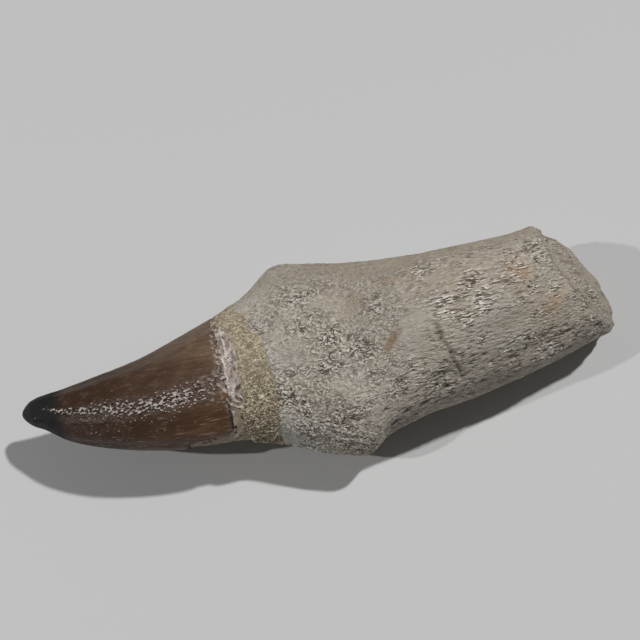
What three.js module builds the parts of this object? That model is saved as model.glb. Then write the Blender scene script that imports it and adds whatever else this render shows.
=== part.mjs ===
import * as THREE from "three";

// A rooted fossil mosasaur tooth, lying on its side. Millimetres, +Z up, resting on z = 0.
// It runs along X, with the tip of the crown at -X and the broken end of the root at +X.
// Three pieces follow one another: the crown (enamel over dentine), a collar of cemented
// sand, and the bony root. "Along" is the distance from the tip. Angles go round a section:
// 0 is the back (+Y), 90 degrees the top, 180 the front (-Y) and 270 the underside.

// Driving dimensions
const ENAMEL_LENGTH = 34.2; // from the tip to the broken edge of the enamel
const CROWN_LENGTH = 36.9; // from the tip to the sand, so nearly 3 mm of dentine is bare
const SAND_END = 41.7; // where the sand stops against the root
const BREAK_ALONG = 103.4; // the root's broken end, where it reaches furthest
const GAP = 0.3; // between one piece and the next
const TIP_ROUND = 2.2; // length over which the tip is blunt
const ENAMEL_THICKNESS = 0.35;
const SOCKET_DEPTH = 1.3; // how far the crown's base is hollow
const FLOOR = 0; // the underside of the root is rubbed flat here

// Oval sections of the whole tooth: how far along, then the back and front edges (Y), then the
// top and under edges (Z).
const SECTIONS = [
  [0, 5.5, 2.5, 11, 8.5],
  [3.5, 5.5, 0, 14.5, 8.5],
  [7, 5.5, -3, 16, 8.5],
  [14, 6, -6.4, 18.8, 7.7],
  [21, 7.2, -8.4, 20.2, 6.7],
  [29, 10.2, -9.7, 20.7, 5.3],
  [35, 12.7, -10, 20.8, 4.4],
  [41, 16.8, -10.7, 19.5, 1.1],
  [46, 20.4, -13, 20.2, -0.7],
  [51, 19.9, -15, 20.8, -1],
  [55, 19.3, -16, 20.9, -1.2],
  [58.5, 17.5, -14, 23, -1],
  [63, 15.3, -12.8, 25.9, -0.6],
  [73, 14.5, -11, 28, -0.3],
  [83, 14.6, -8.9, 27.3, -0.5],
  [92, 17.1, -6.5, 24.4, -0.4],
  [104, 22.2, -2.7, 21.8, -7.3],
];

// Towards the break the back edge sinks and the front edge rises.
const TWIST = { from: 78, to: 100, depth: 2.6 };

const degrees = THREE.MathUtils.degToRad;
const smoothstep = THREE.MathUtils.smoothstep;

const edges = new THREE.CubicInterpolant(
  SECTIONS.map((row) => row[0]),
  SECTIONS.flatMap((row) => row.slice(1)),
  4,
);

// Middle and half sizes of the oval section at a distance from the tip.
function section(along) {
  const [back, front, top, under] = edges.evaluate(along);
  const toTip = Math.max(0, 1 - along / TIP_ROUND);
  const blunt = Math.sqrt(1 - toTip ** 2);
  return {
    y: (back + front) / 2,
    z: (top + under) / 2,
    halfY: (blunt * (back - front)) / 2,
    halfZ: (blunt * (top - under)) / 2,
  };
}

function twist(along) {
  const share = Math.max(0, (along - TWIST.from) / (TWIST.to - TWIST.from));
  return TWIST.depth * share ** 2;
}

// A point of the tooth's skin, raised square to the section's oval.
function skinPoint(along, angle, raise) {
  const s = section(along);
  const out = new THREE.Vector3(0, Math.cos(angle) * s.halfZ, Math.sin(angle) * s.halfY);
  const point = new THREE.Vector3(
    along,
    s.y + s.halfY * Math.cos(angle),
    s.z + s.halfZ * Math.sin(angle) - twist(along) * Math.cos(angle),
  );
  point.addScaledVector(out.normalize(), raise);
  point.z = Math.max(point.z, FLOOR);
  return point;
}

// How far an angle is from another, from half a turn back to half a turn on.
function turnFrom(angle, other) {
  return THREE.MathUtils.euclideanModulo(angle - other + Math.PI, 2 * Math.PI) - Math.PI;
}

// 1 within `inner` degrees of the middle angle, falling to 0 at `outer` degrees.
function near(angle, middle, inner, outer) {
  const turn = Math.abs(turnFrom(angle, degrees(middle)));
  return 1 - smoothstep(turn, degrees(inner), degrees(outer));
}

// Where the pieces meet, at each angle

// The enamel's edge is chipped, and low on the front it has flaked off nearly 8 mm further.
function enamelEdge(angle) {
  const chips = 0.3 * Math.sin(7 * angle) + 0.2 * Math.sin(13 * angle + 1);
  return ENAMEL_LENGTH + chips - 7.8 * near(angle, 225, 50, 62);
}

// At the tooth's back the sand starts and stops nearer to the tip.
function sandStart(angle) {
  return CROWN_LENGTH - 1.7 * near(angle, 12, 28, 62) + 0.2 * Math.sin(3 * angle + 0.5);
}

function sandEnd(angle) {
  return SAND_END - 3.5 * near(angle, 12, 15, 72) + 0.2 * Math.sin(5 * angle);
}

// The break is a domed face that leans a little towards the tooth's back. The dome is measured
// from a point low inside the root, so it falls back most along its top.
const BREAK = { y: 1.7, z: 2.5, lean: 0.05, domeY: 0.029, domeZ: 0.024 };

function breakSurface(y, z) {
  const side = y - BREAK.y;
  const dome = BREAK.domeY * side ** 2 + BREAK.domeZ * (z - BREAK.z) ** 2;
  const lumps = 0.3 * Math.sin(0.9 * y + 1) * Math.sin(0.8 * z) + 0.15 * Math.sin(1.9 * y - 1.3 * z);
  return BREAK_ALONG - BREAK.lean * side - dome + lumps;
}

// Relief

// The crown has a cutting edge at the back and the front, and faint flat faces between them.
function enamelRelief(along, angle) {
  const grown = smoothstep(along, 1, 10);
  const nearest = Math.min(Math.abs(turnFrom(angle, 0)), Math.abs(turnFrom(angle, Math.PI)));
  const cuttingEdge = 0.3 * Math.exp(-((nearest / 0.13) ** 2));
  const flats = 0.08 * Math.cos(11 * angle + 0.4);
  return grown * (cuttingEdge + flats);
}

function dentineRelief(along, angle) {
  return -ENAMEL_THICKNESS + 0.08 * Math.sin(17 * angle + along) * Math.sin(2.3 * along);
}

function sandRelief(along, angle) {
  const grains = Math.sin(31 * angle + 2 * along) * Math.sin(19 * angle - 3.1 * along);
  return 0.14 * grains + 0.08 * Math.sin(8 * angle + along);
}

// Minimal standard random numbers, so that the marks fall in the same places each time.
function seededRandom(seed) {
  let state = seed;
  return () => {
    state = (state * 16807) % 2147483647;
    return state / 2147483647;
  };
}

// Furrows of the bone: longer than wide, and lying along the root.
const random = seededRandom(20260);
const FURROWS = Array.from({ length: 150 }, () => ({
  along: 43 + 54 * random(),
  angle: 2 * Math.PI * random(),
  length: 1.6 + 2.6 * random() ** 2,
  width: 0.55 + 0.35 * random(),
  depth: 0.2 + 0.45 * random() ** 2,
  skew: 0.3 * (random() - 0.5),
}));

// Single marks: a dent on the upper side, a long split near the break, and a shallow crack
// that runs across the upper front side.
const DENT = { along: 60.8, angle: degrees(110), length: 1.7, width: 0.9, depth: 0.5, skew: 0 };
const SPLIT = { along: 86.4, angle: degrees(70), length: 3.4, width: 0.7, depth: 0.6, skew: 0.1 };
const CRACK = { along: 70, angle: degrees(133), halfTurn: degrees(24), width: 0.6, depth: 0.45 };
const CRACK_SLANT = 1.2; // how far each end of the crack is from its middle, along the root

function furrowDepth(along, angle, radius, furrow) {
  const x = along - furrow.along;
  const across = radius * turnFrom(angle, furrow.angle) - furrow.skew * x;
  return furrow.depth * Math.exp(-((x / furrow.length) ** 2) - (across / furrow.width) ** 2);
}

function crackDepth(along, angle) {
  const share = turnFrom(angle, CRACK.angle) / CRACK.halfTurn;
  const x = along - CRACK.along - CRACK_SLANT * share;
  const ends = 1 - smoothstep(Math.abs(share), 0.8, 1.1);
  return CRACK.depth * ends * Math.exp(-((x / CRACK.width) ** 2));
}

function boneRelief(along, angle) {
  const s = section(along);
  const radius = (s.halfY + s.halfZ) / 2;
  const lumps =
    0.28 * Math.sin(3 * angle + 0.11 * along + 0.6) +
    0.2 * Math.sin(5 * angle - 0.19 * along + 2) * Math.sin(0.17 * along) +
    0.12 * Math.sin(9 * angle + 0.35 * along) +
    0.1 * Math.sin(14 * angle - 0.12 * along + 1);
  let depth = crackDepth(along, angle);
  for (const furrow of [...FURROWS, DENT, SPLIT]) {
    depth += furrowDepth(along, angle, radius, furrow);
  }
  // The rubbed patch that the tooth lies on stays smooth.
  const fromFloor = skinPoint(along, angle, 0).z - FLOOR;
  const rough = smoothstep(fromFloor, 0, 1.2);
  return rough * (lumps - depth);
}

// Rings and skins

function ringAngles(count) {
  return Array.from({ length: count }, (_, i) => (i / count) * 2 * Math.PI);
}

// A ring inside a joint's face, from its rim (share 1) to its middle (share 0), where the face
// is at `middleAlong`.
function faceRing(rim, share, middleAlong) {
  const centre = section(middleAlong);
  return rim.map((p) => {
    const along = middleAlong + (p.x - middleAlong) * share ** 2;
    const y = centre.y + (p.y - centre.y) * share;
    const z = centre.z + (p.z - centre.z) * share;
    return new THREE.Vector3(along, y, z);
  });
}

function centreOf(ring) {
  const sum = ring.reduce((total, p) => total.add(p), new THREE.Vector3());
  return sum.divideScalar(ring.length);
}

// A closed skin over a row of rings, with a fan of triangles at each end.
function skin(rings) {
  const count = rings[0].length;
  const last = (rings.length - 1) * count;
  const points = [...rings.flat(), centreOf(rings[0]), centreOf(rings[rings.length - 1])];
  const startCentre = points.length - 2;
  const endCentre = points.length - 1;
  const faces = [];
  for (let n = 0; n < count; n++) {
    const next = (n + 1) % count;
    faces.push(startCentre, next, n);
    for (let row = 0; row < last; row += count) {
      faces.push(row + n, row + next, row + count + n);
      faces.push(row + next, row + count + next, row + count + n);
    }
    faces.push(endCentre, last + n, last + next);
  }
  const geometry = new THREE.BufferGeometry().setFromPoints(points);
  geometry.setIndex(faces);
  geometry.computeVertexNormals();
  return geometry;
}

// Pieces

const SOCKET_ALONG = CROWN_LENGTH - SOCKET_DEPTH;
const FACE_SHARES = [0.8, 0.45];

function crownGeometry() {
  const angles = ringAngles(44);
  const enamelRings = 14;
  const rings = [];
  for (let i = 0; i < enamelRings; i++) {
    // The first ring is close to the tip, and the rings crowd there.
    const share = ((i + 0.35) / (enamelRings - 0.65)) ** 1.6;
    const ring = angles.map((angle) => {
      const along = enamelEdge(angle) * share;
      return skinPoint(along, angle, enamelRelief(along, angle));
    });
    rings.push(ring);
  }
  for (const share of [0.08, 0.5, 1]) {
    const ring = angles.map((angle) => {
      const along = THREE.MathUtils.lerp(enamelEdge(angle), sandStart(angle), share);
      return skinPoint(along, angle, dentineRelief(along, angle));
    });
    rings.push(ring);
  }
  const rim = rings[rings.length - 1];
  for (const share of FACE_SHARES) rings.push(faceRing(rim, share, SOCKET_ALONG));
  return skin(rings);
}

function collarGeometry() {
  const angles = ringAngles(50);
  const side = [0, 0.33, 0.67, 1].map((share) =>
    angles.map((angle) => {
      const along = THREE.MathUtils.lerp(sandStart(angle) + GAP, sandEnd(angle), share);
      return skinPoint(along, angle, sandRelief(along, angle));
    }),
  );
  const crownFace = FACE_SHARES.map((share) => faceRing(side[0], share, SOCKET_ALONG + GAP));
  const rootFace = FACE_SHARES.map((share) => faceRing(side[3], share, SAND_END));
  return skin([...crownFace.reverse(), ...side, ...rootFace]);
}

// How far along the root's skin runs into the break, found by walking there in a few steps.
function sideEnd(angle) {
  let along = BREAK_ALONG;
  for (let step = 0; step < 4; step++) {
    const p = skinPoint(along, angle, 0);
    along = breakSurface(p.y, p.z);
  }
  return along;
}

function rootGeometry() {
  const angles = ringAngles(90);
  const sideRings = 33;
  const ends = angles.map(sideEnd);
  const side = [];
  for (let i = 0; i < sideRings; i++) {
    const ring = angles.map((angle, n) => {
      const along = THREE.MathUtils.lerp(sandEnd(angle) + GAP, ends[n], i / (sideRings - 1));
      return skinPoint(along, angle, boneRelief(along, angle));
    });
    side.push(ring);
  }
  const sandFace = FACE_SHARES.map((share) => faceRing(side[0], share, SAND_END + GAP));
  const brokenFace = [0.86, 0.6, 0.3].map((share) =>
    side[sideRings - 1].map((p) => {
      const y = BREAK.y + (p.y - BREAK.y) * share;
      const z = BREAK.z + (p.z - BREAK.z) * share;
      return new THREE.Vector3(breakSurface(y, z), y, z);
    }),
  );
  return skin([...sandFace.reverse(), ...side, ...brokenFace]);
}

function piece(name, geometry, color, roughness) {
  const material = new THREE.MeshStandardMaterial({ color, roughness, metalness: 0 });
  const mesh = new THREE.Mesh(geometry, material);
  mesh.name = name;
  return mesh;
}

const tooth = new THREE.Group();
tooth.name = "mosasaur_tooth";
tooth.add(
  piece("crown", crownGeometry(), "#4e3a2c", 0.35),
  piece("sand_collar", collarGeometry(), "#93866e", 0.95),
  piece("root", rootGeometry(), "#958c7e", 0.9),
);

// The origin is on the surface that the tooth lies on, under the middle of its box.
const middle = new THREE.Box3().setFromObject(tooth).getCenter(new THREE.Vector3());
tooth.position.set(-middle.x, -middle.y, 0);

export default tooth;
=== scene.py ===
import bpy
from math import cos, degrees, exp, hypot, pi, radians, sin, sqrt
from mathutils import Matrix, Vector, noise


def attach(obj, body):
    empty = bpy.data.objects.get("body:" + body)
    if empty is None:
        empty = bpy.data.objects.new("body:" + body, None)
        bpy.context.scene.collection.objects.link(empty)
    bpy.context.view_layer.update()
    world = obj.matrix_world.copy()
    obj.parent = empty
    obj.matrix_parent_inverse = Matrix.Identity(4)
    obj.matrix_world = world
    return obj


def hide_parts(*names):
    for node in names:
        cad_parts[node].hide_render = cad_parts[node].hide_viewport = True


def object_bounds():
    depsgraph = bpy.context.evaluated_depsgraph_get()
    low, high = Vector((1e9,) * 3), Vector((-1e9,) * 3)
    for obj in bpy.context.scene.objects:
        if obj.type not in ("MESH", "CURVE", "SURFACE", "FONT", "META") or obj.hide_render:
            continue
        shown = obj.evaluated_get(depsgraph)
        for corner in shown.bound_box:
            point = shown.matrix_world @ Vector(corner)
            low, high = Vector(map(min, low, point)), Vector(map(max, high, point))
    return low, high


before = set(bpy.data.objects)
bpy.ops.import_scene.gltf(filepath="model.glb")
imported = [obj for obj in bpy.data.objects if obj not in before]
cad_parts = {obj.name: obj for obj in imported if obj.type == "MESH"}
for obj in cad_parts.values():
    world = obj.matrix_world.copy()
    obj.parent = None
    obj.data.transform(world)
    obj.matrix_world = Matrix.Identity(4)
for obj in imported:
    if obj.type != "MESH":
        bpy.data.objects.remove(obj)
cadLow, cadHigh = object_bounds()
print("frame loaded")

# A rooted fossil mosasaur tooth on its side. Lengths are in millimetres, along is the distance
# from the tip, and mm turns millimetres into metres. Angles go round a section: 0 is the back
# (+Y), 90 degrees the top, 180 the front. A zone is an angle in degrees, how far to each side of
# it an effect is full, and how far away it is gone.
mm = 0.001

tooth = {
    # along, back and front edges (y), top and under edges (z)
    "sections": [
        (0, 5.5, 2.5, 11, 8.5),
        (3.5, 5.5, 0, 14.5, 8.5),
        (7, 5.5, -3, 16, 8.5),
        (14, 6, -6.4, 18.8, 7.7),
        (21, 7.2, -8.4, 20.2, 6.7),
        (29, 10.2, -9.7, 20.7, 5.3),
        (35, 12.7, -10, 20.8, 4.4),
        (41, 16.8, -10.7, 19.5, 1.1),
        (46, 20.4, -13, 20.2, -0.7),
        (51, 19.9, -15, 20.8, -1),
        (55, 19.3, -16, 20.9, -1.2),
        (58.5, 17.5, -14, 23, -1),
        (63, 15.3, -12.8, 25.9, -0.6),
        (73, 14.5, -11, 28, -0.3),
        (83, 14.6, -8.9, 27.3, -0.5),
        (92, 17.1, -6.5, 24.4, -0.4),
        (104, 22.2, -2.7, 21.8, -7.3),
    ],
    "tipRound": 2.2,       # length over which the tip is blunt
    "enamelLength": 33.8,
    "crownLength": 36.9,
    "sandEnd": 41.7,
    "breakAlong": 103.4,
    "twist": {"from": 78, "to": 100, "depth": 2.6},    # the back edge sinks, the front rises
    "enamelThickness": 0.35,
}

# the broken face leans a little and is domed round a point low inside the root
brokenEnd = {"y": 1.7, "z": 2.5, "lean": 0.05, "domeY": 0.029, "domeZ": 0.024}


def smooth(low, high, value):
    share = min(max((value - low) / (high - low), 0.0), 1.0)
    return share * share * (3 - 2 * share)


def mix(a, b, share):
    return a + (b - a) * share


def turnFrom(angle, other):
    return (angle - other + pi) % (2 * pi) - pi


def near(angle, middle, inner, outer):
    turn = abs(degrees(turnFrom(angle, radians(middle))))
    return 1 - smooth(inner, outer, turn)


def ripple(p, scale, stretch=1.0, seed=0.0):
    # smooth noise from about -1 to 1, with scale features to a millimetre, drawn out along x
    x = p.x * scale / stretch
    return noise.noise(Vector((x + seed, p.y * scale + seed, p.z * scale - seed)))


def strokes(u, v, turn, scale, stretch, seed):
    # smooth noise over the unrolled surface, drawn out along the turned direction
    c, s = cos(turn), sin(turn)
    return noise.noise(Vector(((u * c + v * s) * scale / stretch, (v * c - u * s) * scale, seed)))


def edgeSlopes(sections):
    # slopes of the four edges at each section, so that they run through it smoothly
    steps = []
    for a, b in zip(sections, sections[1:]):
        steps.append([(q - p) / (b[0] - a[0]) for p, q in zip(a[1:], b[1:])])
    slopes = [steps[0]]
    for before, after in zip(steps, steps[1:]):
        slopes.append([(p + q) / 2 for p, q in zip(before, after)])
    return slopes + [steps[-1]]


slopes = edgeSlopes(tooth["sections"])


def sectionAt(along):
    rows = tooth["sections"]
    i = 0
    while i < len(rows) - 2 and along >= rows[i + 1][0]:
        i += 1
    length = rows[i + 1][0] - rows[i][0]
    t = (along - rows[i][0]) / length
    h0 = 2 * t**3 - 3 * t**2 + 1
    h1 = (t**3 - 2 * t**2 + t) * length
    h2 = 3 * t**2 - 2 * t**3
    h3 = (t**3 - t**2) * length
    back, front, top, under = (
        h0 * rows[i][k + 1] + h1 * slopes[i][k] + h2 * rows[i + 1][k + 1] + h3 * slopes[i + 1][k]
        for k in range(4)
    )
    toTip = max(0.0, 1 - along / tooth["tipRound"])
    blunt = sqrt(1 - toTip**2)
    halfY, halfZ = blunt * (back - front) / 2, blunt * (top - under) / 2
    return (back + front) / 2, (top + under) / 2, halfY, halfZ


def skinPoint(along, angle, lift=0.0):
    # a point of the skin, raised square to the section's oval
    y, z, halfY, halfZ = sectionAt(along)
    c, s = cos(angle), sin(angle)
    twist = tooth["twist"]
    z -= twist["depth"] * max(0.0, (along - twist["from"]) / (twist["to"] - twist["from"])) ** 2 * c
    outY, outZ = c * halfZ, s * halfY
    size = hypot(outY, outZ) or 1.0
    return Vector((along, y + halfY * c + lift * outY / size, z + halfZ * s + lift * outZ / size))


def meanRadius(along):
    _, _, halfY, halfZ = sectionAt(along)
    return (halfY + halfZ) / 2


def edgeNoise(angle, perTurn, seed):
    return noise.noise(Vector((perTurn * cos(angle), perTurn * sin(angle), seed)))


# Where the pieces meet. Each line wanders a little, as a broken or filled edge does.
seams = {
    "crackZone": (150, 22, 34),       # the enamel ends in one straight crack there
    "flakeZone": (225, 49, 67),       # low on the front more of the enamel has flaked off
    "flakeLength": 7.6,
    "startBackZone": (12, 18, 75),    # the sand starts nearer to the tip at the back
    "startBackReach": 2.2,
    "startFrontZone": (150, 5, 40),
    "startFrontReach": 0.9,
    "endBackZone": (12, 10, 95),      # at the back it also stops nearer to the tip
    "endBackReach": 3.4,
}


def enamelEdge(angle):
    chips = 0.15 * sin(7 * angle) + 0.1 * sin(13 * angle + 1)
    fine = 0.5 * edgeNoise(angle, 8, 3) + 0.4 * edgeNoise(angle, 19, 8)
    ragged = 1 - 0.85 * near(angle, *seams["crackZone"])
    flake = seams["flakeLength"] * near(angle, *seams["flakeZone"])
    return tooth["enamelLength"] + (chips + fine) * ragged - flake


def sandStart(angle):
    fine = 0.45 * edgeNoise(angle, 7, 11) + 0.25 * edgeNoise(angle, 21, 15)
    reach = seams["startBackReach"] * near(angle, *seams["startBackZone"])
    reach += seams["startFrontReach"] * near(angle, *seams["startFrontZone"])
    return tooth["crownLength"] - 0.4 - reach + fine


def sandEnd(angle):
    fine = 0.6 * edgeNoise(angle, 5, 17) + 0.4 * edgeNoise(angle, 17, 19)
    reach = seams["endBackReach"] * near(angle, *seams["endBackZone"])
    return tooth["sandEnd"] - 0.3 - reach + fine


def breakSurface(y, z):
    side = y - brokenEnd["y"]
    dome = brokenEnd["domeY"] * side**2 + brokenEnd["domeZ"] * (z - brokenEnd["z"]) ** 2
    lumps = 0.3 * sin(0.9 * y + 1) * sin(0.8 * z) + 0.15 * sin(1.9 * y - 1.3 * z)
    return tooth["breakAlong"] - brokenEnd["lean"] * side - dome + lumps


def addObject(name, data):
    made = bpy.data.objects.new(name, data)
    bpy.context.collection.objects.link(made)
    return made


def skinMesh(name, rings, masks):
    # a closed skin over rings of points, with a fan at each end; masks are values at the points
    count = len(rings[0])
    points = [p for ring in rings for p in ring]
    faces = []
    for row in range(0, (len(rings) - 1) * count, count):
        for n in range(count):
            after = (n + 1) % count
            faces.append((row + n, row + after, row + count + after, row + count + n))
    last = (len(rings) - 1) * count
    for row, turnOver in ((0, True), (last, False)):
        centre = len(points)
        points.append(sum(points[row:row + count], Vector()) / count)
        for values in masks.values():
            values.append(values[row])
        for n in range(count):
            after = (n + 1) % count
            pair = (row + after, row + n) if turnOver else (row + n, row + after)
            faces.append((centre, *pair))
    mesh = bpy.data.meshes.new(name)
    mesh.from_pydata([tuple(p) for p in points], [], faces)
    mesh.shade_smooth()
    for maskName, values in masks.items():
        layer = mesh.attributes.new(maskName, "FLOAT", "POINT")
        layer.data.foreach_set("value", values)
    mesh.update()
    return addObject(name, mesh)


def ringAngles(count, crowding):
    # a little closer together on top than underneath
    return [a + crowding * cos(a) for a in (2 * pi * n / count for n in range(count))]


def faceRing(rim, share, middleAlong):
    # the rim drawn in towards the section's middle
    y, z, _, _ = sectionAt(middleAlong)
    ring = []
    for p in rim:
        along = middleAlong + (p.x - middleAlong) * share**2
        ring.append(Vector((along, y + (p.y - y) * share, z + (p.z - z) * share)))
    return ring


class Masks:
    # lists of values that grow point by point with a mesh
    def __init__(self, *names):
        self.lists = {name: [] for name in names}

    def add(self, **values):
        for name, kept in self.lists.items():
            kept.append(values.get(name, 0.0))


# The crown: enamel over dentine
crownLook = {
    "around": 380,
    "crowding": 0.15,
    "enamelRings": 214,
    "dentineRings": 30,
    "cuttingEdge": 0.3,              # height of the ridges along the back and the front
    "cuttingEdgeWidth": 0.13,        # in radians
    "flats": 0.08,                   # height of the faint flat faces
    "wrinkle": 0.03,                 # height of the fine wrinkles in the enamel
    "wear": 0.1,                     # height of the rough worn line along the crown
    "chipDepth": 0.16,
    "chipZone": (112, 9, 18),
    "edgeRounding": 0.14,            # the enamel's broken edge is slightly rounded
    "blackTip": 5.5,                 # length of the nearly black tip
    "blackTipFade": 3,
    "darkBackZone": (22, 0, 20),     # the dark of the tip runs on along the back cutting edge
    # painted shade: the dark strip along the front cutting edge
    "darkFrontZone": (192, 0, 22),
    "crackZone": (165, 32, 42),      # a dark crack follows the enamel's edge there
    "layerHeight": 0.2,              # of the dentine's layers, and the depth of its pits
    "smoothZone": (190, 42, 62),     # where the dentine is smooth
    "underSand": 0.5,                # how far the dentine dips under the sand
    "overlap": 0.8,                  # how far it runs on there
    "socketDepth": 1.3,
}


def wearMask(along, angle):
    # a rough worn line runs from near the tip to the base, widest in its second half
    middle = 102 + 11 * smooth(5, 22, along) - 4 * smooth(28, 34, along)
    width = 12 + 12 * smooth(4, 20, along) - 6 * smooth(26, 33, along)
    return near(angle, middle, 0, width) * smooth(3, 6, along) * (1 - 0.4 * smooth(25, 32, along))


def enamelRelief(along, angle, p):
    # gives the height of the skin, and the masks of its chips and its wear
    grown = smooth(1, 10, along)
    nearest = min(abs(turnFrom(angle, 0)), abs(turnFrom(angle, pi)))
    sharp = exp(-((nearest / crownLook["cuttingEdgeWidth"]) ** 2))
    cuttingEdge = crownLook["cuttingEdge"] * sharp
    flats = crownLook["flats"] * cos(11 * angle + 0.4)
    wrinkles = ripple(p, 1.7, 2.2, 5) + 0.7 * ripple(p, 3.1, 2.0, 9)
    threads = ripple(p, 2.0, 9, 2)
    fine = crownLook["wrinkle"] * (wrinkles + 0.8 * threads) * smooth(0.5, 4, along)
    worn = wearMask(along, angle)
    fine += crownLook["wear"] * worn * (ripple(p, 2.3, 1.5, 14) + 0.6 * ripple(p, 3.6, 1.3, 18))
    chip = near(angle, *crownLook["chipZone"]) * smooth(29, 31.5, along)
    chips = smooth(0.15, 0.35, ripple(p, 1.4, 1, 12)) * chip
    return grown * (cuttingEdge + flats) + fine - crownLook["chipDepth"] * chips, chips, worn


def dentineRelief(along, angle, p):
    # thin broken layers that run round the tooth, with a few pits
    v = 9 * turnFrom(angle, pi / 2)
    layers = strokes(along, v, pi / 2 + 0.2 * sin(0.5 * v), 1.3, 4, 21)
    layers += 0.5 * strokes(along, v, pi / 2, 2.4, 2.5, 30)
    layers *= 1 - 0.85 * near(angle, *crownLook["smoothZone"])
    crest = smooth(-0.05, 0.2, layers)
    pits = max(smooth(0.36, 0.46, ripple(p, 1.5, 1, 35)), 0.6 * smooth(-0.34, -0.46, layers))
    height = crownLook["layerHeight"]
    return -tooth["enamelThickness"] + height * layers - height * pits, pits, crest


def makeCrown():
    angles = ringAngles(crownLook["around"], crownLook["crowding"])
    edges = [enamelEdge(a) for a in angles]
    ends = [sandStart(a) + crownLook["overlap"] for a in angles]
    masks = Masks("bare", "pit", "fromTip", "dark", "up", "back", "worn")
    rings = []
    blackTip = crownLook["blackTip"]
    count = crownLook["enamelRings"]
    for i in range(count):
        share = ((i + 0.35) / (count - 0.65)) ** 1.2    # closer together near the tip
        ring = []
        for angle, edge in zip(angles, edges):
            along = edge * share
            lift, chips, worn = enamelRelief(along, angle, skinPoint(along, angle))
            lift -= crownLook["edgeRounding"] * smooth(0.4, 0.0, edge - along)
            ring.append(skinPoint(along, angle, lift))
            atTip = 1 - smooth(blackTip, blackTip + crownLook["blackTipFade"], along)
            # dark strips along the cutting edges: the tip's own dark at the back, painted shade at
            # the front
            strips = max(near(angle, *crownLook["darkBackZone"]),
                         0.8 * near(angle, *crownLook["darkFrontZone"])) * smooth(20, 9, along)
            crackLine = 0.9 * near(angle, *crownLook["crackZone"]) * smooth(0.5, 0.25, edge - along)
            masks.add(pit=chips, fromTip=along, dark=max(atTip, strips, crackLine),
                      up=sin(angle), back=cos(angle), worn=worn)
        rings.append(ring)
    count = crownLook["dentineRings"]
    for i in range(count):
        share = (i + 0.12) / (count - 0.88)
        ring = []
        for angle, edge, end in zip(angles, edges, ends):
            along = mix(edge, end, share)
            lift, holes, crest = dentineRelief(along, angle, skinPoint(along, angle))
            lift -= crownLook["underSand"] * smooth(end - 0.7, end, along)
            ring.append(skinPoint(along, angle, lift))
            masks.add(bare=1.0, pit=holes, fromTip=along, up=sin(angle), back=cos(angle),
                      worn=crest)
        rings.append(ring)
    socket = tooth["crownLength"] - crownLook["socketDepth"]
    rim = rings[-1]
    for share in (0.85, 0.5):
        rings.append(faceRing(rim, share, socket))
        for _ in angles:
            masks.add(bare=1.0, fromTip=socket)
    return skinMesh("crown_fossil", rings, masks.lists)


# The collar of cemented sand
sandLook = {
    "around": 1000,
    "crowding": 0.1,
    "rings": 64,
    "strokeHeight": 0.14,
    "lumpHeight": 0.13,
    "grainHeight": 0.05,
    "edgeDip": 0.45,               # its edges go down under its neighbours
    "startOverlap": 0.25,
    "endOverlap": 0.45,
    "socketDepth": 1.0,
    "lowZone": (175, 25, 75),      # where the grains are larger and paler
    "coarseZone": (150, 35, 75),   # where they stand out more
}


def makeSand():
    angles = ringAngles(sandLook["around"], sandLook["crowding"])
    starts = [sandStart(a) - sandLook["startOverlap"] for a in angles]
    ends = [sandEnd(a) + sandLook["endOverlap"] for a in angles]
    masks = Masks("crest", "pit", "low")
    rings = []
    for i in range(sandLook["rings"]):
        share = i / (sandLook["rings"] - 1)
        ring = []
        for angle, start, end in zip(angles, starts, ends):
            along = mix(start, end, share)
            p = skinPoint(along, angle)
            u, v = along, meanRadius(along) * turnFrom(angle, pi / 2)
            low = near(angle, *sandLook["lowZone"])
            turn = 2.5 * noise.noise(Vector((0.2 * u, 0.3 * v, 41)))
            worm = strokes(u, v, turn, mix(1.6, 1.3, low), 2.0, 44)
            speck = strokes(u, v, turn, 2.6, 1.2, 49)
            cut = max(smooth(0.2, 0.33, worm), smooth(0.36, 0.46, speck))
            rim = smooth(-0.15, 0.1, worm) * (1 - cut)
            rough = mix(0.4, 1.1, near(angle, *sandLook["coarseZone"]))
            lift = rough * sandLook["strokeHeight"] * (rim - cut)
            lumps = sandLook["lumpHeight"] * ripple(p, 0.5, 1, 40)
            lift += lumps + sandLook["grainHeight"] * ripple(p, 4.5, 1, 45)
            atEdge = smooth(0.5, 0.0, along - start) + smooth(0.6, 0.0, end - along)
            lift -= sandLook["edgeDip"] * atEdge
            ring.append(skinPoint(along, angle, lift))
            masks.add(crest=rough * rim, pit=rough * cut, low=low)
        rings.append(ring)
    socket = tooth["crownLength"] - sandLook["socketDepth"]
    inner = [faceRing(rings[0], share, socket) for share in (0.5, 0.85)]
    outer = [faceRing(rings[-1], share, tooth["sandEnd"]) for share in (0.85, 0.5)]
    plain = [0.0] * (2 * len(angles))
    lists = {name: plain + values + plain for name, values in masks.lists.items()}
    return skinMesh("sand_fill", inner + rings + outer, lists)


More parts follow.
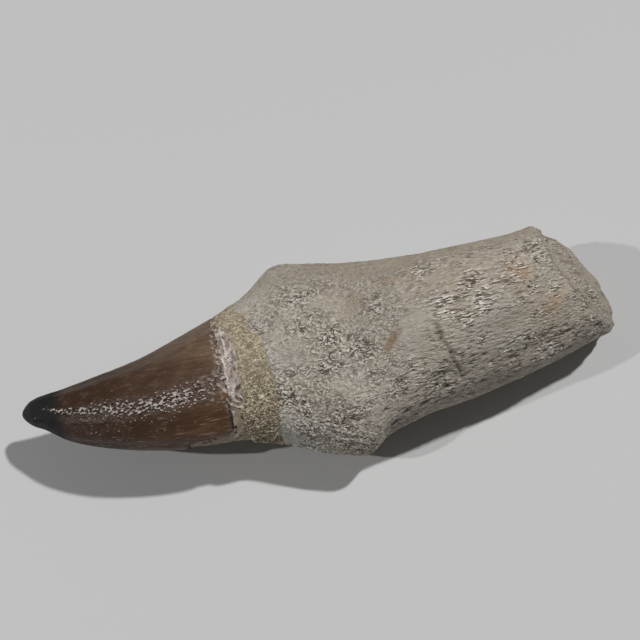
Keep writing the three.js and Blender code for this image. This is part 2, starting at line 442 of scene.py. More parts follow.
# The bony root
rootLook = {
    "around": 400,
    "crowding": 0.42,              # how much closer together the points are on top
    "fineRings": 90,               # over the first part, where the bone is wormy
    "fineUntil": 60,
    "rings": 132,
    "faceRings": 23,
    "furrows": 150,
    "seed": 20260,
    "dashDepth": 0.2,
    "wormDepth": 0.22,
    "rimHeight": 0.09,             # of the raised rims beside the marks
    "rimRounding": 0.75,           # the rim of the break is worn round
    "rimRoundingLength": 1.8,
    "underSand": 0.35,
    "overlap": 0.6,                # how far it runs under the sand
    "rubbedHeight": 1.2,           # below this the relief fades out, down to the rubbed underside
    "ledgeWidth": 0.9,             # the strip along the break that has lost its outer layer
    "ledgeZone": (112, 46, 60),
    "gapZone": (110, 30, 42),      # where the edge of that layer stands out as a dark gap
    "gapDepth": 0.3,
    "smoothBackZone": (42, 6, 24),
    "lowerZone": (165, 30, 75),
    # the bluish grey low on the front near the sand is partly the bone's own grey and partly
    # painted bounce light from the board
    "coolFrontZone": (167, 12, 34),
    "coolBackZone": (20, 4, 13),
    "brownBackZone": (42, 10, 34),
    # painted shade: where the front and the underside are darkened
    "darkLowZone": (185, 20, 65),
    # painted light: where the top is lightened past the widest part
    "paleZone": (100, 30, 60),
    "faceSunk": 0.25,              # the broken face lies a little inside its own rim
}

dent = {
    "along": 61.0, "angle": radians(109.5), "length": 1.2, "width": 0.62, "depth": 0.7,
    "skew": -0.65, "stainLength": 1.45, "stainWidth": 1.0, "stainStrength": 1.8,
}
split = {
    "along": 86.8, "angle": radians(75), "length": 3.6, "width": 0.25, "depth": 0.5,
    "skew": -0.12,
}
crack = {
    "along": 69.6, "angle": radians(136), "halfTurn": radians(27), "slant": 2.0,
    "width": 0.36, "depth": 0.3,
}
# deep pits, most of them along the front: along, angle, size
pits = [
    (96.7, 165, 0.45), (90.9, 158, 0.4), (91.3, 178, 0.5), (80, 160, 0.42), (68.7, 162, 0.5),
    (63.4, 98, 0.28), (61.1, 106, 0.3), (86.5, 168, 0.35), (75, 172, 0.4), (58, 150, 0.4),
    (72.5, 60, 0.35), (61.5, 163, 0.5), (59.5, 168, 0.45), (64.5, 167, 0.45),
]

# along, angle, radius
spots = {
    "orange": [(83.3, 92, 2.2), (84.6, 96, 1.6), (88.7, 126, 1.8), (86.9, 131, 1.2), (63, 64, 0.9)],
    "cool": [(44.9, 104, 2.6), (63.2, 82, 2.6), (57, 95, 1.8), (78, 118, 2.0)],
    "buff": [(57, 74, 5), (62, 62, 5), (66.5, 62, 4)],
    "marked": [    # where the marks crowd together
        (74.7, 102, 4.5), (71, 102, 3), (84.6, 94, 3), (87, 108, 2.5), (87.6, 125, 3.5),
        (90.3, 164, 4.5), (94.4, 166, 3), (72.2, 133, 3.5), (69, 124, 3), (90.4, 104, 2.5),
        (81, 115, 2), (81.6, 156, 4), (46, 135, 4), (48.6, 82, 4), (51, 92, 4), (50.9, 112, 3.5),
        (50.5, 156, 4), (60.6, 148, 4), (62, 160, 5), (64, 78, 3.5), (68, 70, 3), (68, 168, 4.5),
        (54, 158, 4),
    ],
    "calm": [    # where the bone is smoother
        (44.3, 103, 3), (51.7, 122, 2.2), (42.4, 168, 2.5), (65.8, 102, 4), (69, 79, 5),
        (78.3, 132, 3), (56, 78, 3), (79, 84, 3), (61.4, 109, 2.2), (64, 120, 2.2), (76, 145, 2.5),
    ],
}


def spotMask(along, angle, radius, name):
    value = 0.0
    for middle, turn, size in spots[name]:
        x = (along - middle) / size
        if abs(x) < 2:
            across = radius * turnFrom(angle, radians(turn)) / size
            value = max(value, exp(-1.2 * (x * x + across * across)))
    return value


def makeFurrows():
    # the same plain random numbers as the solid has, so its furrows are here too
    state = rootLook["seed"]
    draws = []
    for _ in range(6 * rootLook["furrows"]):
        state = state * 16807 % 2147483647
        draws.append(state / 2147483647)
    furrows = []
    for a, b, c, d, e, f in zip(*[iter(draws)] * 6):
        furrows.append({
            "along": 43 + 54 * a, "angle": 2 * pi * b, "length": 0.5 + 1.2 * c**2,
            "width": 0.2 + 0.16 * d, "depth": 0.7 * (0.2 + 0.45 * e**2), "skew": 0.3 * (f - 0.5),
        })
    for along, angle, size in pits:
        furrows.append({
            "along": along, "angle": radians(angle), "length": 1.5 * size,
            "width": size, "depth": 1.3 * size, "skew": 0,
        })
    return furrows + [dent, split]


def furrowDepth(along, angle, radius, furrows):
    depth = 0.0
    for f in furrows:
        x = along - f["along"]
        if abs(x) > 2.2 * f["length"]:
            continue
        across = radius * turnFrom(angle, f["angle"]) - f["skew"] * x
        if abs(across) < 2.2 * f["width"]:
            depth += f["depth"] * exp(-((x / f["length"]) ** 2) - (across / f["width"]) ** 2)
    return depth


def dentStain(along, angle, radius):
    # rusty bone along the dent's front side
    x = along - dent["along"] + 0.3
    if abs(x) > 4:
        return 0.0
    across = radius * turnFrom(angle, dent["angle"]) - dent["skew"] * x - 0.25
    shape = exp(-((x / dent["stainLength"]) ** 2) - (across / dent["stainWidth"]) ** 2)
    return dent["stainStrength"] * shape


def crackDepth(along, angle):
    share = turnFrom(angle, crack["angle"]) / crack["halfTurn"]
    x = along - crack["along"] - crack["slant"] * share + 0.12 * sin(9 * share)
    ends = 1 - smooth(0.8, 1.1, abs(share))
    return crack["depth"] * ends * exp(-((x / crack["width"]) ** 2))


def boneRelief(along, angle, p, radius, furrows):
    # gives the height of the skin and the masks of its marks
    lumps = (
        0.28 * sin(3 * angle + 0.11 * along + 0.6)
        + 0.2 * sin(5 * angle - 0.19 * along + 2) * sin(0.17 * along)
        + 0.12 * sin(9 * angle + 0.35 * along)
        + 0.1 * sin(14 * angle - 0.12 * along + 1)
    )
    big = furrowDepth(along, angle, radius, furrows)
    cracked = crackDepth(along, angle)
    # short strokes every way near the sand, then more and more drawn out along the root
    wormy = 1 - smooth(52, 70, along + 6 * ripple(p, 0.15, 1, 3))
    calm = max(0.7 * smooth(0.12, 0.35, ripple(p, 0.2, 1.4, 50)),
               0.9 * near(angle, *rootLook["smoothBackZone"]),
               spotMask(along, angle, radius, "calm"))
    lower = near(angle, *rootLook["lowerZone"])
    crowd = spotMask(along, angle, radius, "marked")
    marks = min(1.0, max(0.0, 0.78 + 0.5 * crowd - 0.6 * calm))
    rough = 0.35 + 0.7 * marks

    u, v = along, radius * turnFrom(angle, pi / 2)
    v += 0.3 * ripple(p, 0.7, 1, 53)
    turn = 2.4 * noise.noise(Vector((0.11 * u, 0.14 * v, 51)))
    worm = strokes(u, v, turn, 1.9, 2.3, 90)
    speck = strokes(u, v, turn, 3.0, 1.6, 80)
    wormCut = max(smooth(0.22, 0.38, worm), 0.7 * smooth(0.36, 0.46, speck))
    wormRim = smooth(-0.1, 0.14, worm) * (1 - wormCut)

    bent = v + 0.8 * ripple(p, 0.16, 1.5, 55)
    sparse = 0.2 * smooth(0.15, -0.2, ripple(p, 0.38, 1.6, 66)) * (1 - 0.5 * lower)
    dash = strokes(u, bent, 0, 2.8, 4.6, 60) - sparse
    thin = strokes(u, bent, 0, 4.2, 5.5, 70)
    dashCut = max(smooth(0.31, 0.4, dash), 0.7 * smooth(0.4, 0.47, thin))
    dashRim = smooth(0.05, 0.24, dash) * (1 - dashCut)

    crooked, straight = smooth(0.2, 0.6, wormy), smooth(0.8, 0.4, wormy)
    cut = max(straight * dashCut, crooked * wormCut)
    rim = max(straight * dashRim, crooked * wormRim) * (1 - cut)
    depth = mix(rootLook["dashDepth"], rootLook["wormDepth"], wormy)
    lift = lumps - big - cracked - depth * cut * rough
    lift += rough * rootLook["rimHeight"] * (rim + 0.6 * ripple(p, 2.2, 1.4, 110))
    pit = min(1.0, rough * cut + 1.3 * big + 3 * cracked)
    return lift, pit, wormy, rim * rough * (1 - pit), marks


def ledge(along, end, angle):
    # how far the outer layer is lost at this point, and the dark gap along the layer's edge
    start = end - rootLook["ledgeWidth"]
    start += 0.7 * edgeNoise(angle, 6, 23) + 0.5 * edgeNoise(angle, 21, 25)
    gap = exp(-(((along - start - 0.1) / 0.2) ** 2)) * near(angle, *rootLook["gapZone"])
    return smooth(-0.05, 0.2, along - start) * near(angle, *rootLook["ledgeZone"]), gap


def sideEnd(angle):
    # how far the side of the root reaches before it meets the break
    along = tooth["breakAlong"]
    for _ in range(4):
        p = skinPoint(along, angle)
        along = breakSurface(p.y, p.z)
    return along


def toneMasks(along, angle, radius):
    return {
        # cool: low on the front near the sand it is partly painted bounce light from the board
        "cool": max(near(angle, *rootLook["coolFrontZone"]) * smooth(52, 44, along),
                    0.8 * near(angle, *rootLook["coolBackZone"]) * smooth(50, 58, along),
                    0.5 * spotMask(along, angle, radius, "cool")),
        "brown": max(0.9 * near(angle, *rootLook["brownBackZone"]) * smooth(40, 50, along),
                     crackDepth(along, angle) / crack["depth"],
                     0.8 * spotMask(along, angle, radius, "buff")),
        "stain": max(spotMask(along, angle, radius, "orange"), dentStain(along, angle, radius)),
        # painted shade on the front and the underside
        "low": near(angle, *rootLook["darkLowZone"]),
        # painted light on top, just past the widest part
        "pale": (near(angle, *rootLook["paleZone"])
                 * smooth(51, 56, along) * smooth(65, 60, along)),
    }


def brokenFace(rim, masks):
    # rings from the rim of the break in to its middle
    rings = []
    count = rootLook["faceRings"]
    for i in range(count):
        share = (1 - (i + 1) / (count + 1)) ** 0.8
        worn = smooth(1.0, 0.85, share)
        ring = []
        for p in rim:
            y, z = mix(brokenEnd["y"], p.y, share), mix(brokenEnd["z"], p.z, share)
            flat = Vector((0, y, z))
            holes = smooth(0.12, 0.4, ripple(flat, 0.9, 1, 130))
            rough = 0.2 * ripple(flat, 0.7, 1, 120) + 0.16 * ripple(flat, 1.7, 1, 140)
            rough -= 0.35 * holes
            x = mix(p.x, breakSurface(y, z) - rootLook["faceSunk"] + rough, worn)
            ring.append(Vector((x, y, z)))
            masks.add(pit=0.8 * holes * worn, broken=0.8 * smooth(0.98, 0.86, share),
                      marks=smooth(0.65, 0.92, share))
        rings.append(ring)
    return rings


def makeRoot():
    furrows = makeFurrows()
    angles = ringAngles(rootLook["around"], rootLook["crowding"])
    starts = [sandEnd(a) - rootLook["overlap"] for a in angles]
    ends = [sideEnd(a) for a in angles]
    masks = Masks("pit", "crest", "marks", "broken", "wormy",
                  "cool", "brown", "stain", "low", "pale")
    rings = []
    fine, rest, fineUntil = rootLook["fineRings"], rootLook["rings"], rootLook["fineUntil"]
    for i in range(fine + rest):
        ring = []
        for angle, start, end in zip(angles, starts, ends):
            if i < fine:
                along = mix(start, fineUntil, i / fine)
            else:
                along = mix(fineUntil, end, (i - fine) / (rest - 1))
            p = skinPoint(along, angle)
            radius = meanRadius(along)
            lift, pit, wormy, crests, marks = boneRelief(along, angle, p, radius, furrows)
            lost, gap = ledge(along, end, angle)
            stripped = 0.15 * ripple(p, 0.8, 1, 27) - 0.25
            lift = mix(lift, stripped, 0.85 * lost) - rootLook["gapDepth"] * gap
            pit = max(mix(pit, 0.15 * pit, lost), 1.2 * gap)
            nearBreak = smooth(rootLook["rimRoundingLength"], 0.0, end - along)
            lift -= rootLook["rimRounding"] * nearBreak**2
            lift -= rootLook["underSand"] * smooth(0.7, 0.0, along - start)
            rubbed = smooth(0.0, rootLook["rubbedHeight"], p.z)
            q = skinPoint(along, angle, lift * rubbed)
            q.z = max(q.z, 0.0)
            ring.append(q)
            masks.add(pit=pit * rubbed, crest=crests * (1 - lost), marks=marks * (1 - lost),
                      wormy=wormy, broken=max(0.6 * lost, 0.3 * smooth(0.6, 0.0, end - along)),
                      **toneMasks(along, angle, radius))
        rings.append(ring)
    rings += brokenFace(rings[-1], masks)
    starters = [faceRing(rings[0], share, tooth["sandEnd"]) for share in (0.5, 0.85)]
    lead = [0.0] * (2 * len(angles))
    lists = {name: lead + values for name, values in masks.lists.items()}
    return skinMesh("root_bone", starters + rings, lists)


crown = makeCrown()
print("crown made")
sand = makeSand()
print("sand collar made")
root = makeRoot()
print("root made")

# The tooth is put where the solid is, with the middle of its box over the origin, in metres.
pieces = [crown, sand, root]
everyX, everyY = ([v.co[i] for piece in pieces for v in piece.data.vertices] for i in (0, 1))
shift = Vector((-(min(everyX) + max(everyX)) / 2, -(min(everyY) + max(everyY)) / 2, 0))
for piece in pieces:
    for v in piece.data.vertices:
        p = (v.co + shift) * mm
        v.co = [min(max(c, low), high) for c, low, high in zip(p, cadLow, cadHigh)]
    piece.data.update()

standsFor = ((crown, "crown", "crown"), (sand, "sand_collar", "sand"), (root, "root", "bone"))
for piece, node, slot in standsFor:
    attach(piece, "root")
    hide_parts(node)


def newGroup(name, inputs, *outputs):
    # an input's kind comes from its value; an output is a value unless it is called Color
    group = bpy.data.node_groups.new(name, "ShaderNodeTree")
    for socketName, value in inputs.items():
        kind = "NodeSocketColor" if isinstance(value, tuple) else "NodeSocketFloat"
        socket = group.interface.new_socket(socketName, in_out="INPUT", socket_type=kind)
        socket.default_value = value
    for socketName in outputs:
        kind = "NodeSocketColor" if socketName == "Color" else "NodeSocketFloat"
        group.interface.new_socket(socketName, in_out="OUTPUT", socket_type=kind)
    inside, outside = group.nodes.new("NodeGroupInput"), group.nodes.new("NodeGroupOutput")
    return group, inside.outputs, outside.inputs


def addNode(tree, kind, **settings):
    node = tree.nodes.new("ShaderNode" + kind)
    for key, value in settings.items():
        node.inputs[key].default_value = value
    return node


def colour(r, g, b):
    return (r, g, b, 1.0)


def feed(tree, value, socket):
    # a value is a socket to link, or a plain number or colour
    if isinstance(value, bpy.types.NodeSocket):
        tree.links.new(value, socket)
    else:
        socket.default_value = value


def mixColour(tree, factor, a, b):
    node = addNode(tree, "Mix")
    node.data_type = "RGBA"
    for slotIndex, value in ((0, factor), (6, a), (7, b)):
        feed(tree, value, node.inputs[slotIndex])
    return node.outputs[2]


def calc(tree, operation, *values):
    node = addNode(tree, "Math")
    node.operation = operation
    for i, value in enumerate(values):
        feed(tree, value, node.inputs[i])
    return node.outputs[0]


def times(tree, a, b):
    return calc(tree, "MULTIPLY", a, b)


def remap(tree, value, fromLow, fromHigh, toLow=0.0, toHigh=1.0):
    node = addNode(tree, "MapRange")
    node.interpolation_type = "SMOOTHSTEP"
    for i, limit in enumerate((fromLow, fromHigh, toLow, toHigh), 1):
        node.inputs[i].default_value = limit
    tree.links.new(value, node.inputs[0])
    return node.outputs[0]


# which way a mark is looked up again for its side (mostly to the back), and how far in millimetres;
# painted highlight and painted shadow go on that side
sideWay = (0.4, 1.0, 0.7)
sideReach = 0.17


def textureVector(group, inside, aside=0.0):
    # object coordinates, moved aside, with x shortened by the group's Stretch so that features
    # are drawn out along x
    coords = addNode(group, "TexCoord")
    parts = addNode(group, "SeparateXYZ")
    feed(group, coords.outputs["Object"], parts.inputs[0])
    joined = addNode(group, "CombineXYZ")
    x, y, z = (calc(group, "ADD", parts.outputs[i], sideWay[i] * aside * mm) for i in range(3))
    feed(group, calc(group, "DIVIDE", x, inside["Stretch"]), joined.inputs[0])
    feed(group, calc(group, "ADD", y, inside["Shift"]), joined.inputs[1])
    feed(group, z, joined.inputs[2])
    return joined.outputs[0]


def addNoise(group, vector, perMm, detail, roughness, distortion=0.0):
    soft = addNode(group, "TexNoise", Detail=detail, Roughness=roughness, Distortion=distortion)
    feed(group, vector, soft.inputs["Vector"])
    feed(group, calc(group, "DIVIDE", perMm, mm), soft.inputs["Scale"])
    return soft.outputs["Fac"]


grainInputs = {"Per Mm": 2.0, "Stretch": 1.0, "Shift": 0.0}


def buildGrainGroup():
    # fine mineral grain: a value to tint with
    group, inside, outside = newGroup("fineGrain", grainInputs, "Value")
    value = addNoise(group, textureVector(group, inside), inside["Per Mm"], 3.0, 0.6)
    feed(group, value, outside["Value"])
    return group


def wormShape(group, value, width):
    # thin crooked lines, where the noise passes its middle value
    away = calc(group, "ABSOLUTE", calc(group, "SUBTRACT", value, 0.5))
    return remap(group, calc(group, "DIVIDE", away, width), 0.5, 1.0, 1.0, 0.0)


def fleckShape(group, value, above):
    # scattered small marks, where the noise is high
    return remap(group, calc(group, "SUBTRACT", value, above), -0.012, 0.03)


def buildMarkGroup(name, shape, knob, setting, detail, distortion):
    # Mask is 1 on a mark, Side is 1 along its front edge: painted highlight
    # beside dark marks, painted shadow beside pale ones
    group, inside, outside = newGroup(name, {**grainInputs, knob: setting}, "Mask", "Side")
    marks = []
    for aside in (0.0, sideReach):
        vector = textureVector(group, inside, aside)
        value = addNoise(group, vector, inside["Per Mm"], detail, 0.5, distortion)
        marks.append(shape(group, value, inside[knob]))
    here, there = marks
    side = calc(group, "MAXIMUM", calc(group, "SUBTRACT", there, here), 0.0)
    feed(group, here, outside["Mask"])
    feed(group, side, outside["Side"])
    return group


def buildEarthAndShadeGroup():
    # dark earth caught in the pits, and painted shade in hollows, dark marks and beside pale marks
    group, inside, outside = newGroup(
        "pitEarth", {"Color": colour(0.5, 0.5, 0.5), "Earth": colour(0.1, 0.08, 0.06),
                     "Pit": 0.0, "Amount": 1.0}, "Color")
    share = times(group, inside["Pit"], inside["Amount"])
    result = mixColour(group, share, inside["Color"], inside["Earth"])
    feed(group, result, outside["Color"])
    return group


def buildPatchGroup():
    # soft patches of a second tone, a few millimetres across
    group, inside, outside = newGroup(
        "tonePatches", {**grainInputs, "Color": colour(0.5, 0.5, 0.5),
                        "Second": colour(0.4, 0.4, 0.4), "Amount": 0.5}, "Color")
    value = addNoise(group, textureVector(group, inside), inside["Per Mm"], 4.0, 0.55)
    share = times(group, remap(group, value, 0.42, 0.62), inside["Amount"])
    result = mixColour(group, share, inside["Color"], inside["Second"])
    feed(group, result, outside["Color"])
    return group


grainGroup = buildGrainGroup()
wormGroup = buildMarkGroup("wormLines", wormShape, "Width", 0.08, 1.5, 0.6)
fleckGroup = buildMarkGroup("flecks", fleckShape, "Above", 0.62, 1.0, 0.0)
earthAndShadeGroup = buildEarthAndShadeGroup()
patchGroup = buildPatchGroup()


def placeGroup(tree, group, **values):
    # values are named like the inputs, without spaces; gives the group's first output
    node = addNode(tree, "Group")
    node.node_tree = group
    names = {socket.name.replace(" ", "").lower(): socket for socket in node.inputs}
    for key, value in values.items():
        feed(tree, value, names[key.lower()])
    return node.outputs[0]


def placeAll(tree, group, marks, *names, **values):
    return [placeGroup(tree, group, **marks[name], **values) for name in names]


# the Side of a mark: painted highlight beside a dark mark, painted shadow beside a pale one
def besideOf(marks):
    return marks.node.outputs["Side"]


def addEarthAndShade(tree, tone, earth, pit, amount):
    return placeGroup(tree, earthAndShadeGroup, color=tone, earth=earth, pit=pit, amount=amount)


def newMaterial(name):
    material = bpy.data.materials.new(name)
    material.use_nodes = True
    tree = material.node_tree
    tree.nodes.clear()
    shader = addNode(tree, "BsdfPrincipled")
    output = addNode(tree, "OutputMaterial")
    tree.links.new(shader.outputs[0], output.inputs["Surface"])
    return material, tree, shader


def maskOf(tree, name):
    node = addNode(tree, "Attribute")
    node.attribute_name = name
    return node.outputs["Fac"]


def coat(tree, tones, tone, *coats):
    # lays named tones over a tone, each as far as its share says
    for share, name in coats:
        tone = mixColour(tree, share, tone, tones[name])
    return tone


def dress(tree, shader, tone, roughness, height, depth):
    feed(tree, tone, shader.inputs["Base Color"])
    feed(tree, roughness, shader.inputs["Roughness"])
    bump = addNode(tree, "Bump", Strength=1.0, Distance=depth * mm)
    feed(tree, height, bump.inputs["Height"])
    feed(tree, bump.outputs[0], shader.inputs["Normal"])


enamelTones = {
    # near black of the tip; also painted shade in hollows, beside specks, on the front edge
    "tip": colour(0.009, 0.0085, 0.009),
    "middle": colour(0.05, 0.0255, 0.0135),
    "base": colour(0.18, 0.118, 0.077),
    "lowBase": colour(0.185, 0.103, 0.05),
    "red": colour(0.04, 0.0165, 0.0085),
    "chipped": colour(0.3, 0.26, 0.235),
    # pale of the worn line; also painted highlight in its specks and the pale hairs
    "worn": colour(0.485, 0.42, 0.375),
    "crust": colour(0.45, 0.41, 0.36),
    "roughness": 0.38,
    "dentineRoughness": 0.45,    # added where the dentine is bare
    "specular": 0.32,
    "bump": 0.12,
}
dentineTones = {
    "upper": colour(0.245, 0.2, 0.174),
    "middle": colour(0.45, 0.385, 0.34),
    "white": colour(0.76, 0.69, 0.62),
    "lower": colour(0.24, 0.185, 0.125),
    "streak": colour(0.27, 0.205, 0.175),
    # dark earth in the pits, also painted shade in them
    "earth": colour(0.09, 0.065, 0.05),
}
enamelMarks = {
    "mottle": {"perMm": 0.9, "stretch": 2.0},
    "threads": {"perMm": 2.2, "stretch": 9.0, "shift": 0.02},
    "redPatches": {"perMm": 0.14, "stretch": 2.0, "amount": 0.6},
    "specks": {"perMm": 2.8, "stretch": 1.7, "shift": 0.5},      # pale, on the worn line: wear and painted highlight
    "hollows": {"perMm": 2.6, "stretch": 2.0, "shift": 0.9},     # dark, between the specks: pits and painted shade
    # painted highlight: fine pale hairs along the crown
    "hairs": {"perMm": 3.6, "stretch": 14.0, "above": 0.66, "shift": 1.3},
    "crust": {"perMm": 1.8, "above": 0.54, "shift": 0.3},        # along the enamel's edge
    "streaks": {"perMm": 2.4, "stretch": 0.8, "shift": 0.1},
    "sparkle": {"perMm": 2.2, "stretch": 1.7, "shift": 0.4},
}


def enamelColour(tree, threads, mottle, hollows, specks):
    fromTip, back, worn = (maskOf(tree, name) for name in ("fromTip", "back", "worn"))
    # dark brown, lighter towards the base and redder at the front; the tip is nearly black
    wander = calc(tree, "MULTIPLY_ADD", calc(tree, "SUBTRACT", threads, 0.5), 10.0, fromTip)
    behind = remap(tree, back, -0.75, 0.35)
    baseTone = coat(tree, enamelTones, enamelTones["lowBase"], (behind, "base"))
    tone = mixColour(tree, remap(tree, wander, 13, 34), enamelTones["middle"], baseTone)
    tone = placeGroup(tree, patchGroup, color=tone, second=enamelTones["red"],
                      **enamelMarks["redPatches"])
    hairs, crust = placeAll(tree, fleckGroup, enamelMarks, "hairs", "crust")
    # the painted highlight of the hairs is stronger towards the front
    hairs = times(tree, hairs, remap(tree, back, 0.1, -0.5, 0.08, 0.3))
    crust = times(tree, remap(tree, fromTip, 32.4, 33.8), crust)
    return coat(
        tree, enamelTones, tone,
        (remap(tree, threads, 0.38, 0.66, 0.0, 0.5), "red"),
        (remap(tree, mottle, 0.5, 0.75, 0.0, 0.35), "base"),
        (maskOf(tree, "dark"), "tip"),
        (times(tree, maskOf(tree, "pit"), 0.6), "chipped"),
        (times(tree, hairs, remap(tree, fromTip, 6, 10)), "worn"),
        (times(tree, worn, 0.05), "worn"),
        # painted shade in the hollows and painted shadow beside the pale specks, in the tip's near
        # black
        (times(tree, hollows, 0.9), "tip"),
        (besideOf(specks), "tip"),
        # the pale specks are wear and painted highlight
        (specks, "worn"),
        (times(tree, crust, remap(tree, maskOf(tree, "up"), 0.55, 0.95)), "crust"),
    )


def dentineColour(tree):
    # whitest on top, lilac grey beside that, tan at the front
    streaks = placeGroup(tree, grainGroup, **enamelMarks["streaks"])
    ridges = times(tree, maskOf(tree, "worn"), remap(tree, streaks, 0.6, 0.44, 0.3, 1.0))
    chalk = coat(
        tree, dentineTones, dentineTones["upper"],
        (remap(tree, maskOf(tree, "up"), 0.8, 1.0), "middle"),
        (remap(tree, maskOf(tree, "back"), -0.55, -0.8), "lower"),
        (remap(tree, streaks, 0.49, 0.6, 0.0, 0.8), "streak"),
        (times(tree, ridges, 0.85), "white"),
    )
    return addEarthAndShade(tree, chalk, dentineTones["earth"], maskOf(tree, "pit"), 0.95)


def enamelMaterial():
    material, tree, shader = newMaterial("fossil enamel and dentine")
    bare, worn = maskOf(tree, "bare"), maskOf(tree, "worn")
    mottle, threads, sparkle = placeAll(
        tree, grainGroup, enamelMarks, "mottle", "threads", "sparkle")
    # more specks and hollows in the middle of the worn line
    above = calc(tree, "MULTIPLY_ADD", worn, -0.235, 0.77)
    specks, hollows = placeAll(tree, fleckGroup, enamelMarks, "specks", "hollows", above=above)
    enamel = enamelColour(tree, threads, mottle, hollows, specks)
    tone = mixColour(tree, bare, enamel, dentineColour(tree))

    least, most = enamelTones["roughness"] - 0.05, enamelTones["roughness"] + 0.12
    gloss = remap(tree, mottle, 0.3, 0.7, least, most)
    gloss = calc(tree, "MULTIPLY_ADD", maskOf(tree, "dark"), 0.25, gloss)
    gloss = calc(tree, "MULTIPLY_ADD", worn, -0.18, gloss)
    gloss = calc(tree, "MULTIPLY_ADD", hollows, 0.35, gloss)
    rough = calc(tree, "MULTIPLY_ADD", bare, enamelTones["dentineRoughness"], gloss)
    strength = calc(tree, "MULTIPLY_ADD", worn, 3.0, 0.6)
    height = calc(tree, "MULTIPLY_ADD", threads, 0.4, times(tree, sparkle, strength))
    shader.inputs["Specular IOR Level"].default_value = enamelTones["specular"]
    dress(tree, shader, tone, rough, height, enamelTones["bump"])
    return material


sandTones = {
    "mid": colour(0.395, 0.322, 0.22),
    "dark": colour(0.33, 0.255, 0.15),
    "light": colour(0.84, 0.76, 0.58),
    # dark of the holes, also painted shade in the cuts and beside the pale worm lines
    "hole": colour(0.13, 0.095, 0.055),
    "low": colour(0.44, 0.365, 0.24),
    "roughness": 0.85,
    "bump": 0.3,
}
sandMarks = {
    "grain": {"perMm": 3.2, "stretch": 1.0},
    "worms": {"perMm": 1.15, "stretch": 1.2, "width": 0.11},
    "gaps": {"perMm": 1.1, "stretch": 1.0, "width": 0.06, "shift": 1.7},
}


def sandMaterial():
    material, tree, shader = newMaterial("cemented sand")
    grain = placeGroup(tree, grainGroup, **sandMarks["grain"])
    worms, gaps = placeAll(tree, wormGroup, sandMarks, "worms", "gaps")
    low = maskOf(tree, "low")
    coarse = remap(tree, low, 0.0, 0.6, 0.65, 0.95)
    # painted highlight on the raised rims of the strokes
    pale = times(tree, maskOf(tree, "crest"), remap(tree, grain, 0.4, 0.56, 0.3, 1.0))
    tone = coat(
        tree, sandTones, sandTones["mid"],
        (remap(tree, grain, 0.5, 0.36, 0.0, 0.6), "dark"),
        (times(tree, low, 0.25), "low"),
        (times(tree, pale, 0.5), "light"),
        (times(tree, worms, times(tree, coarse, 0.6)), "light"),
    )
    # dark gaps, and painted shadow beside the pale worm lines
    dark = times(tree, calc(tree, "MAXIMUM", gaps, besideOf(worms)), coarse)
    tone = addEarthAndShade(tree, tone, sandTones["hole"], dark, 0.8)
    tone = addEarthAndShade(tree, tone, sandTones["hole"], maskOf(tree, "pit"), 0.4)
    dress(tree, shader, tone, sandTones["roughness"], grain, sandTones["bump"])
    return material


boneTones = {
    "wormy": colour(0.51, 0.457, 0.385),      # near the sand
    "drawn": colour(0.445, 0.387, 0.313),     # further along
    "low": colour(0.3, 0.265, 0.215),         # painted shade on the front, down to the underside
    "shade": colour(0.42, 0.36, 0.285),
    # painted highlight on crests and beside the dark marks
    "white": colour(0.9, 0.86, 0.78),
    "warm": colour(0.52, 0.43, 0.32),
    "cool": colour(0.46, 0.45, 0.42),
    "brown": colour(0.36, 0.3, 0.225),
    "orange": colour(0.45, 0.26, 0.13),
    # dark earth in pits and marks, also painted shade in them and beside the pale marks
    "earth": colour(0.125, 0.088, 0.057),
    "broken": colour(0.36, 0.302, 0.232),
    "pale": colour(0.62, 0.56, 0.47),         # painted light on top, just past the widest part
    "roughness": 0.75,
    "bump": 0.4,
}
# how strongly each tone or mark shows
boneAmounts = {
    "low": 0.52, "cool": 0.7, "brown": 0.75, "broken": 0.7,
    "white": 0.74, "marks": 0.96, "pits": 0.52,
}
boneMarks = {
    "fine": {"perMm": 2.6, "stretch": 1.2},
    "drawn": {"perMm": 2.6, "stretch": 4.0, "shift": 0.1},
    "warmPatches": {"perMm": 0.11, "amount": 0.45},
    "coolPatches": {"perMm": 0.09, "shift": 0.3, "amount": 0.3},
    "spread": {"perMm": 0.3, "stretch": 1.4, "shift": 0.2},      # where the marks gather
    "worms": {"perMm": 1.2, "stretch": 1.5, "width": 0.1, "shift": 0.6},
    "grooves": {"perMm": 1.0, "stretch": 1.3, "width": 0.055, "shift": 2.1},
    "ridges": {"perMm": 2.6, "stretch": 3.6, "above": 0.585, "shift": 0.4},
    "dashes": {"perMm": 2.8, "stretch": 4.2, "above": 0.6},
}


def boneColour(tree, grain, fine, wormy):
    pale = maskOf(tree, "pale")
    # the pale mask is painted light on top, just past the widest part
    tone = coat(tree, boneTones, boneTones["drawn"], (wormy, "wormy"), (pale, "pale"))
    for name in ("warm", "cool"):
        tone = placeGroup(tree, patchGroup, color=tone, second=boneTones[name],
                          **boneMarks[name + "Patches"])
    tone = coat(tree, boneTones, tone, (remap(tree, grain, 0.5, 0.34, 0.0, 0.7), "shade"))
    # low is painted shade on the front and the underside; cool is partly painted bounce light low
    # on the front
    for name in ("low", "cool", "brown"):
        share = times(tree, maskOf(tree, name), boneAmounts[name])
        tone = coat(tree, boneTones, tone, (share, name))
    stain = times(tree, maskOf(tree, "stain"), remap(tree, fine, 0.42, 0.6, 0.2, 0.8))
    broken = times(tree, maskOf(tree, "broken"), boneAmounts["broken"])
    return coat(tree, boneTones, tone, (stain, "orange"), (broken, "broken"))


